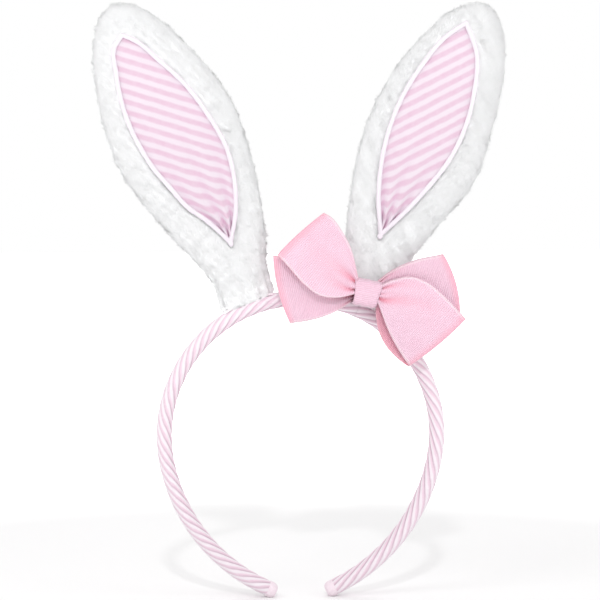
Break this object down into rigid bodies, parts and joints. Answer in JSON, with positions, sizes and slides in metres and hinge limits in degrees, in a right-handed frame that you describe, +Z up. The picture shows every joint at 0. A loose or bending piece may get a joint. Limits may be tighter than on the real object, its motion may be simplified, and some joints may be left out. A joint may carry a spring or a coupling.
{
  "type": "bunny ears headband",
  "caption": "Costume headband: a springy hoop wound with striped cloth, tall wired plush rabbit ears with striped linings, and a ribbon bow beside one ear.",
  "frame": {"origin": "centre of the round part of the hoop, on its axis, halfway across the band's width", "axes": "+Z up through the crown of the hoop, -Y is the way the wearer looks (the linings and the bow face -Y), +X towards the ear with the bow"},
  "size_m": [0.1895, 0.0295, 0.276],
  "materials": {
    "wrap_cloth": "pink and white striped cotton, wound in overlapping turns",
    "spring_plastic": "natural nylon, satin",
    "plush": "short white pile",
    "lining_cloth": "pink and white striped woven cotton",
    "piping_satin": "pale lilac white satin cord",
    "ribbon": "pink grosgrain",
    "filling_fibre": "loose polyester fibre",
    "wire": "bare annealed wire",
    "felt": "pressed felt",
    "thread": "polyester thread",
    "cap_cloth": "glued cloth end, slightly glossy"
  },
  "bodies": {
    "crown": {"band_core_crown": "spring_plastic", "band_wrap_crown": "wrap_cloth", "ear_pad_left": "felt", "ear_pad_right": "felt", "bow_loop_upper_left": "ribbon", "bow_loop_lower_left": "ribbon", "bow_loop_upper_right": "ribbon", "bow_loop_lower_right": "ribbon", "bow_knot": "ribbon", "bow_thread": "thread", "bow_backing": "felt"},
    "left_leg": {"band_core_leg_left": "spring_plastic", "band_wrap_leg_left": "wrap_cloth", "tip_cap_left": "cap_cloth"},
    "right_leg": {"band_core_leg_right": "spring_plastic", "band_wrap_leg_right": "wrap_cloth", "tip_cap_right": "cap_cloth"},
    "left_ear": {"ear_back_left": "plush", "ear_border_left": "plush", "ear_lining_left": "lining_cloth", "ear_piping_left": "piping_satin", "ear_filling_left": "filling_fibre", "ear_wire_left": "wire"},
    "right_ear": {"ear_back_right": "plush", "ear_border_right": "plush", "ear_lining_right": "lining_cloth", "ear_piping_right": "piping_satin", "ear_filling_right": "filling_fibre", "ear_wire_right": "wire"}
  },
  "joints": [
    {"name": "left_leg_flex", "type": "hinge", "parent": "crown", "child": "left_leg", "pos_m": [-0.0445, 0, 0.04942], "axis": [0, 1, 0], "range_deg": [-4.5, 18], "stiffness_Nm_per_rad": 0.5},
    {"name": "right_leg_flex", "type": "hinge", "parent": "crown", "child": "right_leg", "pos_m": [0.0445, 0, 0.04942], "axis": [0, -1, 0], "range_deg": [-4.5, 18], "stiffness_Nm_per_rad": 0.5},
    {"name": "left_ear_bend", "type": "hinge", "parent": "crown", "child": "left_ear", "pos_m": [-0.02369, 0, 0.05864], "axis": [0.9272, 0, 0.3746], "range_deg": [-45, 30]},
    {"name": "right_ear_bend", "type": "hinge", "parent": "crown", "child": "right_ear", "pos_m": [0.02573, 0, 0.05778], "axis": [0.9135, 0, -0.4067], "range_deg": [-45, 0]}
  ]
}
